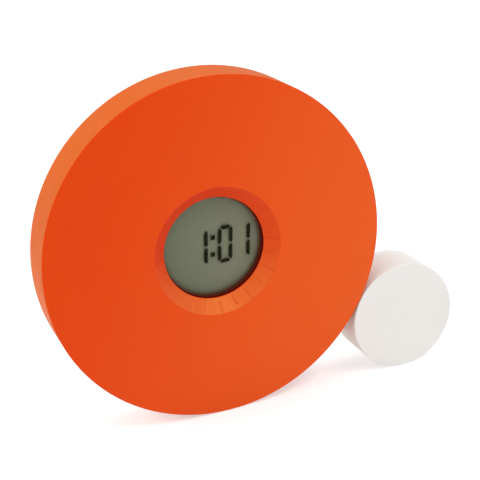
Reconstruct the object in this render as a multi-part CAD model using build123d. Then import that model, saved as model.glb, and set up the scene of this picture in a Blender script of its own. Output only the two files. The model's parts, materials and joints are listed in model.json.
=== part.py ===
from build123d import *
from math import asin, atan, cos, degrees, pi, radians, sin, sqrt, tan
import os

# Runaway alarm clock. A large motor-driven wheel rolls away with the display in its hub, and a
# small trailing roller on a flat arm behind it keeps the display upright.
#
# Every piece is drawn in wheel coordinates: x to the right, y back from the wheel's front face,
# z up, with the centre of the front face at zero. Depths along y are called near and far.
# The finished pieces are then placed so that the object stands on z = 0 about its middle.

# ---- Wheel ----
WHEEL_DEPTH = 18.1
FACE_WALL = 2.2
RIM_WALL = 2.5
EDGE_ROUND = 0.4
DISH_R = 24.55
DISH_DEPTH = 4.35
WINDOW_R = 19.55
WINDOW_LIP = 0.5
SLEEVE_R = 24.6
SLEEVE_WALL = 2.2
SLEEVE_TIP = 0.35
SHOULDER_WIDTH = 1.8

TICK_STEP = 15.0
TICK_COUNT = 13
TICK_WIDTH = 0.36
TICK_CUT = 0.22
LONG_TICK_INSETS = (1.3, 0.25)
SHORT_TICK_INSETS = (0.7, 1.55)

# ---- Roller and arm ----
ROLLER_R = 21.67
ROLLER_WALL = 1.8
RUN_GAP = 0.4
HUB_RIB = 1.2
HUB_RIB_COUNT = 6
ARM_WIDTH = 16.0
ARM_THICKNESS = 2.9
ARM_START = 24.0
ARM_GAP = 0.4
ARM_FIT = 0.15
ARM_PANEL_FROM_SCREW = 7.0
ARM_PANEL_TO_AXLE = 11.0
ARM_PANEL_WIDTH = 8.0
ARM_PANEL_CUT = 0.5
AXLE_R = 1.5
AXLE_NEAR = 3.6
CLIP_NEAR = 4.5
CLIP_THICKNESS = 0.6
CLIP_GROOVE = 0.3
CLIP_REACH = 1.9
CLIP_MOUTH = 1.8
HUB_NEAR = 5.4
HUB_INSET = 0.3
HUB_R = 4.2
HUB_WEB = 1.8

# ---- Fits and clearances ----
RUNNING = 0.05
PRESSED = 0.02
CLEAR = 0.3
RIM_GAP = 0.6

# ---- Chassis ----
PLATE_THICKNESS = 1.8
BUSH_WALL = 1.95
BUSH_FLANGE = 0.6
BUSH_PROUD = 0.2
RING_CLIP_THICKNESS = 0.7
RING_CLIP_GROOVE = 0.6
RING_CLIP_PROUD = 1.9
RING_CLIP_GAP = 32.0
STANDOFF_BEARINGS = (40.0, 140.0, 220.0, 320.0)
STANDOFF_R = 1.7
STANDOFF_GAP = 0.4
BOARD_SCREW_R = 0.9
BOARD_SCREW_HEAD_R = 1.7
BOARD_SCREW_HEAD = 0.9

# ---- Display ----
HOLDER_GAP = 0.4
HOLDER_WALL = 0.9
BEZEL_INSET = 0.25
BEZEL_DEPTH = 1.85
HOLDER_FLANGE = 1.0
BOARD_THICKNESS = 1.2
EAR_R = 2.6
GLASS_THICKNESS = 0.55
CELL_GAP = 0.1
POLARISER = 0.15
REFLECTOR = 0.3
ZEBRA_HALF_LENGTH = 5.0
ZEBRA_WIDTH = 1.0
ZEBRA_EDGE = 0.1
ZEBRA_GAP = 0.2
GLASS_FIT = 0.1

# Seven-segment digits, measured between the centre lines of the strokes.
DIGITS_MIDDLE = (0.55, -0.42)
DIGIT_HEIGHT = 12.92
DIGIT_WIDTH = 4.33
DIGIT_PITCH = 7.05
DIGIT_SLANT = 4.5
STROKE = 1.4
STROKE_GAP = 0.17
STROKE_POINT = 0.24
COLON_SIDE = 1.65
COLON_HALF_HEIGHT = 3.3
COLON_TO_STROKE = 2.71
SHOWN_TIME = ((-1, "1"), (0, "0"), (1, "1"))
STROKES_OF = {"0": "abcdef", "1": "bc"}

# ---- Gear train ----
PRESSURE_ANGLE = 20.0
RING_MODULE = 1.0
FINE_MODULE = 0.5
STUB_ADDENDUM = 0.8
STUB_DEDENDUM = 1.05
SLACK = 0.08
RING_TEETH = 96
DRIVE_PINION_TEETH = 12
DRIVE_WHEEL_TEETH = 36
REDUCTION_PINION_TEETH = 12
REDUCTION_WHEEL_TEETH = 40
MOTOR_PINION_TEETH = 10
DRIVE_BEARING = 120.0
REDUCTION_BEARING = 20.0
MOTOR_BEARING = 5.0
RING_WIDTH = 2.1
RING_BODY = 2.25
RING_FLANGE_WIDTH = 4.0
RING_FLANGE = 1.2
STAKE_COUNT = 8
STAKE_R = 1.0
STAKE_HEAD_R = 1.6
STAKE_HEAD = 0.7
PINION_TO_FACE = 0.75
DRIVE_WHEEL_TO_RING = 0.2
DRIVE_WHEEL_WIDTH = 1.0
WHEEL_TO_WHEEL = 0.25
REDUCTION_WHEEL_WIDTH = 1.0
PLATE_TO_GEARS = 0.35
GEAR_PIN_R = 1.0
GEAR_PIN_HEAD_R = 1.7
GEAR_PIN_HEAD = 0.4
GEAR_PIN_SHOULDER_R = 1.3
GEAR_PLAY = 0.1

# ---- Motor ----
MOTOR_R = 10.5
MOTOR_TO_COVER = 0.7
MOTOR_CAP = 1.0
MOTOR_CAP_STEP = 0.4
MOTOR_BOSS_R = 3.0
MOTOR_BOSS = 1.2
MOTOR_SHAFT_R = 1.0
MOTOR_SCREW_OFFSET = 6.0
MOTOR_SCREW_R = 0.85
MOTOR_SCREW_HEAD_R = 1.5
MOTOR_SCREW_HEAD = 0.6
MOTOR_SCREW_REACH = 2.0
TERMINAL_X = 2.5
TERMINAL_LENGTH = 2.4
TERMINAL_WIDTH = 1.6
TERMINAL_SHEET = 0.4

# ---- Rear cover ----
COVER_WALL = 1.8
COVER_ROUND = 1.2
POST_BEARINGS = (50.0, 130.0, 207.0, 317.0)
POST_INSET = 8.4
POST_R = 3.6
COVER_SCREW_R = 1.15
COVER_SCREW_HEAD_R = 2.2
COVER_SCREW_HEAD = 1.5
COVER_SCREW_DEPTH = 3.0
POST_HEIGHT = 3.6
ARM_SCREW_FIRST = 4.0
ARM_SCREW_STEP = 13.0
ARM_SCREW_COUNT = 3
ARM_SCREW_R = 1.0
ARM_SCREW_HEAD_R = 2.0
ARM_SCREW_HEAD = 1.2
ARM_BOSS_TO_BOARD = 0.5
ARM_BOSS_R = 2.6

# ---- Batteries: two AAA cells ----
CELL_R = 5.25
CELL_LENGTH = 44.5
CELL_NUB = 1.0
CELL_NUB_R = 1.9
CELL_TO_COVER = 0.25
CELL_SIDE_GAP = 0.9
CELL_END_SPACE = 3.75
TRAY_SIDE_GAP = 0.35
TRAY_WALL = 1.0
TRAY_TO_BOARD = 0.4
TRAY_TO_COVER = 1.86
TRAY_EAR = 4.0
CONTACT_SHEET = 0.4
CONTACT_WIDTH = 7.0
CONTACT_HEIGHT = 7.0
CONTACT_FOOT = 1.0
DOOR_INSET = 1.65
DOOR_FIT = 0.25
DOOR_RISE = 10.8
HINGE_DROP = 9.7
HINGE_PIN_R = 0.5
HINGE_PIN_REACH = 1.2
THUMB_R = 4.0
THUMB_CUT = 0.7

# ---- Parts on the circuit board: widths, heights above the board and (x, z) places ----
BLOB_R = 5.0
BLOB_HEIGHT = 1.3
BLOB_PLACE = (-2.0, -15.0)
CRYSTAL_R = 1.0
CRYSTAL_LENGTH = 6.0
CRYSTAL_PLACE = (8.0, -14.0)
CAPACITOR_R = 2.0
CAPACITOR_LENGTH = 5.0
CAPACITOR_PLACE = (-14.0, -13.0)
TRANSISTOR_WIDTH = 2.9
TRANSISTOR_HEIGHT = 1.1
TRANSISTOR_DEPTH = 1.3
TRANSISTOR_PLACES = ((-2.55, 22.15), (2.95, 22.15))

# ---- Controls ----
SWITCH_SIDE = 6.0
SWITCH_TO_COVER = 3.7
SMALL_BUTTON_R = 2.6
SMALL_BUTTON_TRAVEL = 0.6
SMALL_BUTTON_PROUD = 0.6
BUTTON_ROW_Z = 13.5
BUTTON_ROW_INSET = 10.1
SMALL_BUTTONS = ("time_button", "alarm_button", "hour_button", "minute_button")
STOP_BUTTON_R = 8.0
STOP_BUTTON_TRAVEL = 0.8
STOP_BUTTON_PROUD = 1.0
BUTTON_FIT = 0.2
BUTTON_FLANGE = 0.9
BUTTON_FLANGE_WIDTH = 1.0
STEM_R = 1.2
SLIDER_X = -18.5
SLIDER_Z = -4.0
SLIDER_TRAVEL = 3.0
SLIDER_SIDE = 2.0
SLIDE_SWITCH_END = 3.5
SLIDE_SWITCH_DEPTH = 4.0

# ---- Sounder ----
SPEAKER_X = -42.0
SPEAKER_Z = 6.0
SPEAKER_R = 10.0
SPEAKER_DEPTH = 3.0
SPEAKER_WALL = 1.0
SPEAKER_FLOOR = 0.8
CONE_FLAT_R = 4.0
CONE_PAPER = 0.3
DUST_CAP_R = 3.0
DUST_CAP_HEIGHT = 1.3
MAGNET_R = 6.0
MAGNET_DEPTH = 2.6
SPEAKER_COLLAR = 1.2
GRILLE_HOLE_R = 0.8
GRILLE_STEP = 3.2
GRILLE_RINGS = 2

# ---- Wiring ----
LEAD_R = 0.5
LEAD_PITCH = 1.3
LEAD_BEND_SHARE = 0.45

# ---- Worked out from the sizes above, from the face to the back ----
PINION_NEAR = FACE_WALL + PINION_TO_FACE
RING_FAR = FACE_WALL + RING_WIDTH
DRIVE_WHEEL_NEAR = RING_FAR + DRIVE_WHEEL_TO_RING
DRIVE_WHEEL_FAR = DRIVE_WHEEL_NEAR + DRIVE_WHEEL_WIDTH
REDUCTION_WHEEL_NEAR = DRIVE_WHEEL_FAR + WHEEL_TO_WHEEL
REDUCTION_WHEEL_FAR = REDUCTION_WHEEL_NEAR + REDUCTION_WHEEL_WIDTH
PLATE_NEAR = REDUCTION_WHEEL_FAR + PLATE_TO_GEARS
PLATE_FAR = PLATE_NEAR + PLATE_THICKNESS
SHOULDER_FAR = PLATE_NEAR - BUSH_FLANGE - CLEAR
BUSH_FAR = PLATE_FAR + BUSH_PROUD
RING_CLIP_NEAR = BUSH_FAR + CLEAR
SLEEVE_END = RING_CLIP_NEAR + RING_CLIP_THICKNESS + RUNNING + SLEEVE_TIP
HOLDER_FLANGE_NEAR = SLEEVE_END + CLEAR
BOARD_NEAR = HOLDER_FLANGE_NEAR + HOLDER_FLANGE
BOARD_FAR = BOARD_NEAR + BOARD_THICKNESS

LIP_FAR = DISH_DEPTH + WINDOW_LIP
HOLDER_NEAR = LIP_FAR + CLEAR
GLASS_NEAR = HOLDER_NEAR + BEZEL_DEPTH
GLASS_FAR = GLASS_NEAR + GLASS_THICKNESS
REAR_GLASS_NEAR = GLASS_FAR + CELL_GAP
REAR_GLASS_FAR = REAR_GLASS_NEAR + GLASS_THICKNESS
REFLECTOR_FAR = REAR_GLASS_FAR + REFLECTOR

HUB_FAR = WHEEL_DEPTH - HUB_INSET
ARM_NEAR = WHEEL_DEPTH + ARM_GAP
ARM_FAR = ARM_NEAR + ARM_THICKNESS
COVER_BACK = ARM_FAR
COVER_INNER = COVER_BACK - COVER_WALL
COVER_SCREW_SEAT = COVER_BACK - COVER_SCREW_DEPTH
POST_SPLIT = PLATE_FAR + POST_HEIGHT
CHANNEL_NEAR = ARM_NEAR - COVER_WALL
ARM_BOSS_NEAR = BOARD_FAR + ARM_BOSS_TO_BOARD
SWITCH_FAR = COVER_INNER - SWITCH_TO_COVER
MOTOR_FAR = COVER_INNER - MOTOR_TO_COVER - MOTOR_CAP
TERMINAL_NEAR = MOTOR_FAR + (MOTOR_CAP - TERMINAL_SHEET) / 2
CELL_Y = COVER_INNER - CELL_TO_COVER - CELL_R
HINGE_Y = COVER_BACK - COVER_WALL / 2
HINGE_ROUND = COVER_WALL / 2
BACKMOST = COVER_BACK + STOP_BUTTON_PROUD

# ---- Worked out from the hub outwards ----
SLEEVE_BORE_R = SLEEVE_R - SLEEVE_WALL
HOLDER_R = SLEEVE_BORE_R - HOLDER_GAP
HOLDER_BORE_R = HOLDER_R - HOLDER_WALL
BEZEL_R = WINDOW_R - BEZEL_INSET
GLASS_R = HOLDER_BORE_R - GLASS_FIT
ZEBRA_TOP_Z = sqrt(GLASS_R**2 - ZEBRA_HALF_LENGTH**2) - ZEBRA_EDGE
GLASS_LEDGE_Z = ZEBRA_TOP_Z - ZEBRA_WIDTH - ZEBRA_GAP
LONG_TICK = (WINDOW_R + LONG_TICK_INSETS[0], DISH_R - LONG_TICK_INSETS[1])
SHORT_TICK = (WINDOW_R + SHORT_TICK_INSETS[0], DISH_R - SHORT_TICK_INSETS[1])
BUSH_R = SLEEVE_R + RUNNING + BUSH_WALL
BOARD_R = BUSH_R
STANDOFF_DISTANCE = BUSH_R + STANDOFF_R + STANDOFF_GAP
BUTTON_ROW_STEP = 2 * (BOARD_R - BUTTON_ROW_INSET) / (len(SMALL_BUTTONS) - 1)

# The cells lie below the hub, and the wheel is as large as it takes to roll round them.
CELL_PITCH = 2 * CELL_R + CELL_SIDE_GAP
TRAY_HALF_X = CELL_LENGTH / 2 + CELL_END_SPACE
TRAY_HALF_Z = CELL_PITCH / 2 + CELL_R + TRAY_SIDE_GAP
TRAY_TOP_Z = -BOARD_R - TRAY_TO_BOARD
CELLS_Z = TRAY_TOP_Z - TRAY_WALL - TRAY_HALF_Z
TRAY_CORNER_R = sqrt((TRAY_HALF_X + TRAY_WALL) ** 2 + (CELLS_Z - TRAY_HALF_Z - TRAY_WALL) ** 2)
DOOR_HALF_X = TRAY_HALF_X - DOOR_INSET
DOOR_TOP_Z = CELLS_Z + DOOR_RISE
HINGE_Z = CELLS_Z - HINGE_DROP
DRUM_R = TRAY_CORNER_R + TRAY_TO_COVER + COVER_WALL
RIM_BORE_R = DRUM_R + RIM_GAP
WHEEL_R = RIM_BORE_R + RIM_WALL
POST_DISTANCE = DRUM_R - POST_INSET
MOTOR_CAP_R = MOTOR_R - MOTOR_CAP_STEP

# ---- Worked out for the arm and the roller ----
AXLE_SPAN = WHEEL_R + ROLLER_R + RUN_GAP
ARM_BEARING = -degrees(asin((WHEEL_R - ROLLER_R) / AXLE_SPAN))
AXLE_X = AXLE_SPAN * cos(radians(ARM_BEARING))
AXLE_Z = ROLLER_R - WHEEL_R
ARM_SCREW_PLACES = [ARM_START + ARM_SCREW_FIRST + ARM_SCREW_STEP * n for n in range(ARM_SCREW_COUNT)]
ARM_PANEL = (ARM_SCREW_PLACES[-1] + ARM_PANEL_FROM_SCREW, AXLE_SPAN - ARM_PANEL_TO_AXLE)
PLACE = Pos((WHEEL_R - AXLE_X - ROLLER_R) / 2, -BACKMOST / 2, WHEEL_R)


def polar(distance, bearing, start=(0.0, 0.0)):
    """A point seen from the front, at a bearing counted up from the right."""
    turn = radians(bearing)
    return start[0] + distance * cos(turn), start[1] + distance * sin(turn)


DRIVE_GEAR = polar(RING_MODULE * (RING_TEETH - DRIVE_PINION_TEETH) / 2, DRIVE_BEARING)
REDUCTION_GEAR = polar(
    FINE_MODULE * (DRIVE_WHEEL_TEETH + REDUCTION_PINION_TEETH) / 2, REDUCTION_BEARING, DRIVE_GEAR
)
MOTOR = polar(
    FINE_MODULE * (REDUCTION_WHEEL_TEETH + MOTOR_PINION_TEETH) / 2, MOTOR_BEARING, REDUCTION_GEAR
)
STANDOFFS = [polar(STANDOFF_DISTANCE, bearing) for bearing in STANDOFF_BEARINGS]
POSTS = [polar(POST_DISTANCE, bearing) for bearing in POST_BEARINGS]
MOTOR_SCREWS = [(MOTOR[0], MOTOR[1] + side * MOTOR_SCREW_OFFSET) for side in (-1, 1)]
ARM_SCREWS = [polar(distance, ARM_BEARING) for distance in ARM_SCREW_PLACES]
BUTTON_ROW = [((place - 1.5) * BUTTON_ROW_STEP, BUTTON_ROW_Z) for place in range(4)]
CELL_ROWS = [CELLS_Z + side * CELL_PITCH / 2 for side in (-1, 1)]


# ---- Building blocks ----
def disc(radius, near, far, x=0.0, z=0.0):
    """A round bar along the depth."""
    bar = Cylinder(radius, far - near, align=(Align.CENTER, Align.CENTER, Align.MIN))
    return Pos(x, near, z) * Rot(-90, 0, 0) * bar


def tube(radius, bore, near, far, x=0.0, z=0.0):
    return disc(radius, near, far, x, z) - disc(bore, near, far, x, z)


def block(low_x, high_x, near, far, low_z, high_z):
    corner = (Align.MIN, Align.MIN, Align.MIN)
    return Pos(low_x, near, low_z) * Box(high_x - low_x, far - near, high_z - low_z, align=corner)


def plate(outline, near, far):
    """Gives thickness to an outline that is drawn as seen from the front."""
    return Pos(0, far, 0) * Rot(90, 0, 0) * extrude(outline, far - near, dir=(0, 0, 1))


def turned(*points):
    """A solid turned about the wheel's axis from (radius, depth) points."""
    return revolve(Polygon(*points, align=None), Axis.Y)


def together(pieces):
    """Separate solids that share one node."""
    return Compound(children=[solid for piece in pieces for solid in piece.solids()])


def pan_screw(x, z, seat, head_r, head, shank_r, tip):
    """A cross-head screw put in from the back: its head's underside is at the depth seat."""
    far = seat + head
    screw = disc(head_r, seat, far, x, z) + disc(shank_r, tip, seat, x, z)
    arm, half = head_r * 0.6, head_r * 0.12
    for half_x, half_z in ((arm, half), (half, arm)):
        screw -= block(x - half_x, x + half_x, far - head / 2, far, z - half_z, z + half_z)
    return screw


def gear_outline(teeth, module, toward, slack=SLACK, tip=STUB_ADDENDUM, root=STUB_DEDENDUM):
    """An involute gear's outline with one tooth on the bearing toward."""
    pitch_r = module * teeth / 2
    base_r = pitch_r * cos(radians(PRESSURE_ANGLE))
    pitch_roll = tan(radians(PRESSURE_ANGLE))
    half_thickness = pi / 2 / teeth - slack * module / pitch_r / 2
    pitch_half = half_thickness + pitch_roll - atan(pitch_roll)

    def half_tooth(radius):
        roll = sqrt(max((radius / base_r) ** 2 - 1, 0))
        return degrees(pitch_half - roll + atan(roll))

    flank = [pitch_r - root * module, pitch_r, pitch_r + tip * module]
    points = []
    for tooth in range(teeth):
        middle = toward + 360 / teeth * tooth
        points += [polar(radius, middle - half_tooth(radius)) for radius in flank]
        points += [polar(radius, middle + half_tooth(radius)) for radius in reversed(flank)]
    return Polygon(*points, align=None)


def gear(teeth, module, toward, near, far, place, bore):
    outline = Pos(*place) * gear_outline(teeth, module, toward)
    return plate(outline, near, far) - disc(bore, near, far, *place)


# ---- Wheel ----
def wheel_shell():
    """Face, dished hub, rim and the sleeve that turns in the chassis."""
    shoulder_r = SLEEVE_R + SHOULDER_WIDTH
    groove_far = RING_CLIP_NEAR + RING_CLIP_THICKNESS + RUNNING
    groove_r = SLEEVE_R - RING_CLIP_GROOVE
    profile = Polygon(
        (WINDOW_R, DISH_DEPTH),
        (DISH_R, 0),
        (WHEEL_R, 0),
        (WHEEL_R, WHEEL_DEPTH),
        (RIM_BORE_R, WHEEL_DEPTH),
        (RIM_BORE_R, FACE_WALL),
        (shoulder_r, FACE_WALL),
        (shoulder_r, SHOULDER_FAR),
        (SLEEVE_R, SHOULDER_FAR),
        (SLEEVE_R, RING_CLIP_NEAR - RUNNING),
        (groove_r, RING_CLIP_NEAR - RUNNING),
        (groove_r, groove_far),
        (SLEEVE_R, groove_far),
        (SLEEVE_R, SLEEVE_END),
        (SLEEVE_BORE_R, SLEEVE_END),
        (SLEEVE_BORE_R, LIP_FAR),
        (WINDOW_R, LIP_FAR),
        align=None,
    )
    outer_corners = profile.vertices().filter_by(lambda corner: corner.X > WHEEL_R - EDGE_ROUND)
    profile = fillet(outer_corners, EDGE_ROUND)
    shell = revolve(profile, Axis.Y)
    shell = shell - tick_cuts()
    return shell + ring_stakes()


def tick_cuts():
    """Grooves in the dish's cone round its lower half, long and short in turn."""
    slope = DISH_DEPTH / (DISH_R - WINDOW_R)
    cuts = []
    for number in range(TICK_COUNT):
        inner_r, outer_r = SHORT_TICK if number % 2 else LONG_TICK
        near_face = [(radius, (DISH_R - radius) * slope) for radius in (inner_r, outer_r)]
        (low_r, low_y), (high_r, high_y) = near_face
        section = Polygon(
            (low_r, low_y + TICK_CUT),
            (high_r, high_y + TICK_CUT),
            (high_r, high_y - TICK_CUT),
            (low_r, low_y - TICK_CUT),
            align=None,
        )
        cuts.append(Rot(0, number * TICK_STEP, 0) * extrude(section, TICK_WIDTH / 2, both=True))
    return cuts


def stake_places():
    distance = RING_MODULE * RING_TEETH / 2 + RING_BODY + RING_FLANGE_WIDTH / 2 + STUB_DEDENDUM
    return [polar(distance, (number + 0.5) * 360 / STAKE_COUNT) for number in range(STAKE_COUNT)]


def ring_stakes():
    """Pegs melted over the ring gear's flange."""
    seat = FACE_WALL + RING_FLANGE
    stakes = []
    for x, z in stake_places():
        stakes.append(disc(STAKE_R, FACE_WALL, seat, x, z))
        stakes.append(disc(STAKE_HEAD_R, seat, seat + STAKE_HEAD, x, z))
    return stakes


def ring_gear():
    tooth_root_r = RING_MODULE * (RING_TEETH / 2 + STUB_DEDENDUM)
    body_r = tooth_root_r + RING_BODY
    ring = disc(body_r, FACE_WALL, RING_FAR)
    ring += disc(body_r + RING_FLANGE_WIDTH, FACE_WALL, FACE_WALL + RING_FLANGE)
    spaces = gear_outline(
        RING_TEETH, RING_MODULE, DRIVE_BEARING, -SLACK, STUB_DEDENDUM, STUB_ADDENDUM
    )
    ring -= plate(spaces, FACE_WALL, RING_FAR)
    for x, z in stake_places():
        ring -= disc(STAKE_R + PRESSED, FACE_WALL, RING_FAR, x, z)
    return ring


def retaining_ring():
    """Split ring in the sleeve's groove, behind the bush."""
    far = RING_CLIP_NEAR + RING_CLIP_THICKNESS
    bore = SLEEVE_R - RING_CLIP_GROOVE + PRESSED
    ring = tube(SLEEVE_R + RING_CLIP_PROUD, bore, RING_CLIP_NEAR, far)
    sides = [polar(2 * SLEEVE_R, 90 + turn) for turn in (-RING_CLIP_GAP / 2, RING_CLIP_GAP / 2)]
    wedge = Polygon((0, 0), *sides, align=None)
    return ring - plate(wedge, RING_CLIP_NEAR, far)


# ---- Chassis ----
def chassis_plate():
    sheet = disc(DRUM_R, PLATE_NEAR, PLATE_FAR) - disc(BUSH_R + PRESSED, PLATE_NEAR, PLATE_FAR)
    sheet -= tray_block(PRESSED, PLATE_NEAR, PLATE_FAR)
    for x, z in STANDOFFS:
        sheet += disc(STANDOFF_R, PLATE_FAR, HOLDER_FLANGE_NEAR, x, z)
        sheet -= disc(BOARD_SCREW_R + PRESSED, PLATE_NEAR, HOLDER_FLANGE_NEAR, x, z)
    for x, z in POSTS:
        sheet += disc(POST_R, PLATE_FAR, POST_SPLIT, x, z)
        sheet -= disc(COVER_SCREW_R + PRESSED, PLATE_NEAR, POST_SPLIT, x, z)
    for x, z in (DRIVE_GEAR, REDUCTION_GEAR):
        sheet -= disc(GEAR_PIN_R + PRESSED, PLATE_NEAR, PLATE_FAR, x, z)
    sheet -= disc(MOTOR_BOSS_R + PRESSED, PLATE_NEAR, PLATE_FAR, *MOTOR)
    for x, z in MOTOR_SCREWS:
        sheet -= disc(MOTOR_SCREW_R + PRESSED, PLATE_NEAR, PLATE_FAR, x, z)
        sheet -= disc(MOTOR_SCREW_HEAD_R + PRESSED, PLATE_NEAR, PLATE_NEAR + MOTOR_SCREW_HEAD, x, z)
    for x, z in tray_ears():
        sheet -= disc(BOARD_SCREW_R + PRESSED, PLATE_NEAR, PLATE_FAR, x, z)
    return sheet


def hub_bush():
    """Bearing of the wheel's sleeve, with a flange that takes the wheel's thrust."""
    bore = SLEEVE_R + RUNNING
    flange = tube(BUSH_R + SHOULDER_WIDTH, bore, PLATE_NEAR - BUSH_FLANGE, PLATE_NEAR)
    return tube(BUSH_R, bore, PLATE_NEAR, BUSH_FAR) + flange


def board_outline(reach=0.0):
    outline = Circle(BOARD_R + reach)
    for place in STANDOFFS:
        outline += Pos(*place) * Circle(EAR_R + reach)
    return outline


def board_screws():
    sizes = (BOARD_FAR, BOARD_SCREW_HEAD_R, BOARD_SCREW_HEAD, BOARD_SCREW_R, PLATE_FAR)
    return together(pan_screw(x, z, *sizes) for x, z in STANDOFFS)


# ---- Display ----
def display_holder():
    """Cup inside the wheel's sleeve: a deep bezel in front, and a flange that the board closes."""
    cup = disc(HOLDER_R, HOLDER_NEAR, HOLDER_FLANGE_NEAR)
    cup += plate(board_outline(), HOLDER_FLANGE_NEAR, BOARD_NEAR)
    cup -= disc(BEZEL_R, HOLDER_NEAR, GLASS_NEAR)
    cup -= disc(HOLDER_BORE_R, GLASS_NEAR, BOARD_NEAR)
    for x, z in STANDOFFS:
        cup -= disc(BOARD_SCREW_R + PRESSED, HOLDER_FLANGE_NEAR, BOARD_NEAR, x, z)
    return cup


def front_polariser():
    return disc(BEZEL_R - PRESSED, GLASS_NEAR - POLARISER, GLASS_NEAR)


def front_glass():
    return disc(GLASS_R, GLASS_NEAR, GLASS_FAR)


def ledged(near, far):
    """A round sheet cut straight at the top, clear of the contact strip."""
    strip = block(-GLASS_R, GLASS_R, near, far, -GLASS_R, GLASS_LEDGE_Z)
    return disc(GLASS_R, near, far) & strip


def rear_glass():
    return ledged(REAR_GLASS_NEAR, REAR_GLASS_FAR)


def reflector():
    return ledged(REAR_GLASS_FAR, REFLECTOR_FAR)


def zebra_strips():
    """Contact strip on the front glass's ledge, and a plain one that backs the lower edge."""
    half = ZEBRA_HALF_LENGTH
    low_z = ZEBRA_TOP_Z - ZEBRA_WIDTH
    contact = block(-half, half, GLASS_FAR, BOARD_NEAR, low_z, ZEBRA_TOP_Z)
    backing = block(-half, half, REFLECTOR_FAR, BOARD_NEAR, -ZEBRA_TOP_Z, -low_z)
    return together([contact, backing])


def stroke_corners(start, end, outer_side):
    """One stroke between two corners, with its points set towards the digit's outer side."""
    along = (Vector(*end) - Vector(*start)).normalized()
    across = Vector(-along.Y, along.X) * outer_side
    first = Vector(*start) + along * STROKE_GAP
    last = Vector(*end) - along * STROKE_GAP
    half = STROKE / 2
    outer_back = half * (1 - STROKE_POINT)
    inner_back = half * (1 + STROKE_POINT)
    tip = across * (half * STROKE_POINT)
    return (
        first + tip,
        first + across * half + along * outer_back,
        last + across * half - along * outer_back,
        last + tip,
        last - across * half - along * inner_back,
        first - across * half + along * inner_back,
    )


def digit_strokes(figure, left):
    """The strokes of one figure whose left stroke stands at left, before the slant."""
    right = left + DIGIT_WIDTH
    top = DIGIT_HEIGHT / 2
    strokes = {
        "a": ((left, top), (right, top), 1),
        "b": ((right, 0), (right, top), -1),
        "c": ((right, -top), (right, 0), -1),
        "d": ((left, -top), (right, -top), -1),
        "e": ((left, -top), (left, 0), 1),
        "f": ((left, 0), (left, top), 1),
    }
    return [stroke_corners(*strokes[name]) for name in STROKES_OF[figure]]


def colon_dot(middle):
    half = COLON_SIDE / 2
    corners = ((-half, -half), (half, -half), (half, half), (-half, half))
    return [Vector(x, middle + y) for x, y in corners]


def slanted(corners):
    """An outline through the corners about the digits' middle, leaning to the right."""
    lean = tan(radians(DIGIT_SLANT))
    points = [(corner.X + corner.Y * lean, corner.Y) for corner in corners]
    return Pos(*DIGITS_MIDDLE) * Polygon(*points, align=None)


def display_digits():
    """The dark strokes of the time shown, in the cell gap between the glasses."""
    outlines = [colon_dot(side * COLON_HALF_HEIGHT) for side in (-1, 1)]
    first_left = COLON_TO_STROKE
    before_colon = DIGIT_PITCH - DIGIT_WIDTH - 2 * COLON_TO_STROKE
    for place, figure in SHOWN_TIME:
        left = first_left + place * DIGIT_PITCH + (before_colon if place < 0 else 0)
        outlines += digit_strokes(figure, left)
    return together(plate(slanted(corners), GLASS_FAR, REAR_GLASS_NEAR) for corners in outlines)


# ---- Circuit board ----
def circuit_board():
    board = plate(board_outline(), BOARD_NEAR, BOARD_FAR)
    for x, z in STANDOFFS:
        board -= disc(BOARD_SCREW_R + PRESSED, BOARD_NEAR, BOARD_FAR, x, z)
    return board


def chip_blob():
    """Drop of epoxy over the clock chip."""
    x, z = BLOB_PLACE
    sphere_r = (BLOB_R**2 + BLOB_HEIGHT**2) / 2 / BLOB_HEIGHT
    ball = Pos(x, BOARD_FAR + BLOB_HEIGHT - sphere_r, z) * Sphere(sphere_r)
    return ball & disc(2 * BLOB_R, BOARD_FAR, BOARD_FAR + BLOB_HEIGHT, x, z)


def crystal():
    x, z = CRYSTAL_PLACE
    return Pos(x, BOARD_FAR + CRYSTAL_R, z) * Rot(0, 90, 0) * Cylinder(CRYSTAL_R, CRYSTAL_LENGTH)


def capacitor():
    x, z = CAPACITOR_PLACE
    return Pos(x, BOARD_FAR + CAPACITOR_R, z) * Cylinder(CAPACITOR_R, CAPACITOR_LENGTH)


def board_block(x, z, width, height, top):
    """A block on the board about a place, as far back as top."""
    half_x, half_z = width / 2, height / 2
    return block(x - half_x, x + half_x, BOARD_FAR, top, z - half_z, z + half_z)


def transistors():
    """The two motor drivers."""
    sizes = (TRANSISTOR_WIDTH, TRANSISTOR_DEPTH, BOARD_FAR + TRANSISTOR_HEIGHT)
    return together(board_block(x, z, *sizes) for x, z in TRANSISTOR_PLACES)


def tact_switches():
    places = BUTTON_ROW + [(0.0, 0.0)]
    return together(board_block(x, z, SWITCH_SIDE, SWITCH_SIDE, SWITCH_FAR) for x, z in places)


def slide_switch():
    middle_x = SLIDER_X + SLIDER_TRAVEL / 2
    width = SLIDER_TRAVEL + 2 * SLIDE_SWITCH_END
    return board_block(middle_x, SLIDER_Z, width, SLIDE_SWITCH_DEPTH, SWITCH_FAR)


# ---- Gear train and motor ----
def gear_pins():
    """Headed pins pressed into the plate, with a shoulder behind each gear."""
    bore_gap = GEAR_PLAY / 2
    pins = []
    for place, head_far, shoulder_near in (
        (DRIVE_GEAR, PINION_NEAR - bore_gap, DRIVE_WHEEL_FAR + bore_gap),
        (REDUCTION_GEAR, DRIVE_WHEEL_NEAR - bore_gap, REDUCTION_WHEEL_FAR + bore_gap),
    ):
        pin = disc(GEAR_PIN_R, head_far, PLATE_FAR, *place)
        pin += disc(GEAR_PIN_HEAD_R, head_far - GEAR_PIN_HEAD, head_far, *place)
        pins.append(pin + disc(GEAR_PIN_SHOULDER_R, shoulder_near, PLATE_NEAR, *place))
    return together(pins)


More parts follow.
